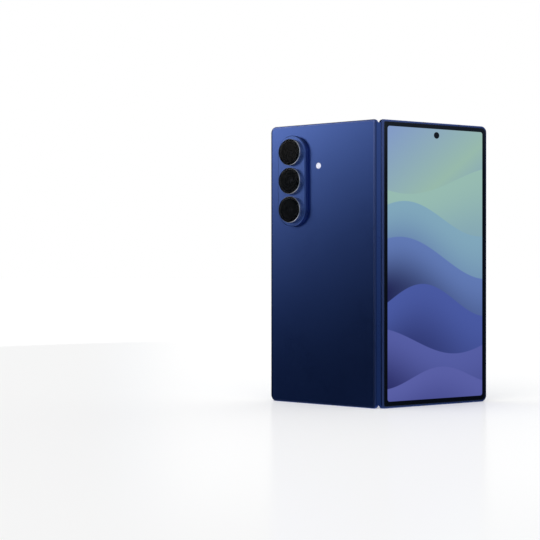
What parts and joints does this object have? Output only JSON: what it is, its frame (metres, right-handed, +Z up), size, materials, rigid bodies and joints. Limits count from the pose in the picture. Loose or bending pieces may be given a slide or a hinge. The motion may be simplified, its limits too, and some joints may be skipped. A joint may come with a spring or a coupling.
{
  "type": "foldable smartphone",
  "caption": "Book-style folding phone: two flat halves on a geared double hinge, flexible inner display, cover display and a raised rear camera row.",
  "frame": {"origin": "middle of the bottom of the box around the phone, which stands half open on its lower edges", "axes": "+Z up the height of the phone, -Y out of the hinge spine, +X towards the half with the cover display, -X towards the half with the rear cameras"},
  "size_m": [0.1242, 0.0416, 0.1584],
  "materials": {
    "spine_metal": "deep blue anodised, satin",
    "blue_frame": "deep blue anodised, satin",
    "blue_island": "deep blue anodised, fine satin",
    "blue_glass": "matt etched glass, painted deep blue behind",
    "screen_glass": "polished glass bonded over the lit cover display, black border",
    "display_panel": "display panel, sealed in",
    "inner_display": "flexible display under a polymer film, glossy",
    "soft_bezel": "soft black bezel, matt",
    "black_plastic": "black moulded plastic",
    "antenna_plastic": "blue moulded plastic, matt",
    "ring_metal": "grey metal rings, fine turned",
    "lens_glass": "coated black camera glass",
    "module_black": "black lens barrels and housings",
    "flash_window": "white diffusing window",
    "hinge_steel": "machined steel",
    "spring_steel": "spring steel discs",
    "screw_steel": "small zinc-plated screws",
    "can_steel": "tinned sheet steel",
    "port_steel": "nickel-plated shell",
    "magnet_metal": "nickel-plated magnets",
    "cell_foil": "laminated cell pouch, dark",
    "circuit_board": "green circuit board",
    "coil_copper": "copper coil on film",
    "flex_film": "amber flexible circuit"
  },
  "bodies": {
    "spine": {"spine_cover": "spine_metal", "spine_end_caps": "black_plastic", "hinge_brackets": "hinge_steel", "hinge_pins": "hinge_steel", "friction_springs": "spring_steel", "hinge_flex": "flex_film", "inner_display_fold": "inner_display"},
    "rear_half": {"rear_frame": "blue_frame", "rear_cover": "blue_glass", "camera_island": "blue_island", "camera_rings": "ring_metal", "camera_lenses": "lens_glass", "camera_modules": "module_black", "flash_lens": "flash_window", "rear_battery": "cell_foil", "main_board": "circuit_board", "shield_cans": "can_steel", "wireless_coil": "coil_copper", "bottom_speaker": "black_plastic", "usb_board": "circuit_board", "usb_port": "port_steel", "vibration_motor": "can_steel", "microphones": "can_steel", "rear_bezel": "soft_bezel", "rear_hinge_arms": "hinge_steel", "rear_screws": "screw_steel", "rear_antenna_bands": "antenna_plastic", "inner_camera": "module_black", "rear_magnets": "magnet_metal", "inner_display_rear": "inner_display", "key_switches": "flex_film"},
    "cover_half": {"cover_frame": "blue_frame", "cover_glass": "screen_glass", "cover_display_panel": "display_panel", "cover_camera": "module_black", "cover_battery": "cell_foil", "sub_board": "circuit_board", "sub_board_cans": "can_steel", "top_speaker": "black_plastic", "sim_reader": "can_steel", "cover_bezel": "soft_bezel", "cover_hinge_arms": "hinge_steel", "cover_screws": "screw_steel", "cover_antenna_bands": "antenna_plastic", "cover_magnets": "magnet_metal", "inner_display_cover": "inner_display"},
    "idler_left": {"idler_gears_left": "hinge_steel"},
    "idler_right": {"idler_gears_right": "hinge_steel"},
    "volume_key": {"volume_rocker": "blue_frame"},
    "power_button": {"power_key": "blue_frame"},
    "card_tray": {"sim_tray": "blue_frame"}
  },
  "joints": [
    {"name": "fold_cover", "type": "hinge", "parent": "spine", "child": "cover_half", "pos_m": [0.00155, -0.01772, 0.0792], "axis": [0, 0, 1], "range_deg": [-32.3, 57.7], "deforming": ["inner_display_fold", "hinge_flex"]},
    {"name": "fold_rear", "type": "hinge", "parent": "spine", "child": "rear_half", "pos_m": [-0.00155, -0.01772, 0.0792], "axis": [0, 0, 1], "range_deg": [-57.7, 32.3]},
    {"name": "idler_right_turn", "type": "hinge", "parent": "spine", "child": "idler_right", "pos_m": [0.00055, -0.01818, 0.0792], "axis": [0, 0, 1], "range_deg": [-57.7, 32.3]},
    {"name": "idler_left_turn", "type": "hinge", "parent": "spine", "child": "idler_left", "pos_m": [-0.00055, -0.01818, 0.0792], "axis": [0, 0, 1], "range_deg": [-32.3, 57.7]},
    {"name": "volume_rock", "type": "hinge", "parent": "rear_half", "child": "volume_key", "pos_m": [-0.06034, 0.0185, 0.1035], "axis": [0.5344, 0.8453, 0], "range_deg": [-1.2, 1.2], "stiffness_Nm_per_rad": 0.06},
    {"name": "power_press", "type": "slide", "parent": "rear_half", "child": "power_button", "axis": [0.8453, -0.5344, 0], "range_m": [0, 0.00025], "stiffness_N_per_m": 4000, "springref_m": -0.0001},
    {"name": "tray_pull", "type": "slide", "parent": "cover_half", "child": "card_tray", "axis": [0, 0, -1], "range_m": [0, 0.028]}
  ],
  "couplings": [
    {"joint": "fold_rear", "follows": "fold_cover", "ratio": -1},
    {"joint": "idler_right_turn", "follows": "fold_cover", "ratio": -1},
    {"joint": "idler_left_turn", "follows": "fold_cover", "ratio": 1}
  ]
}
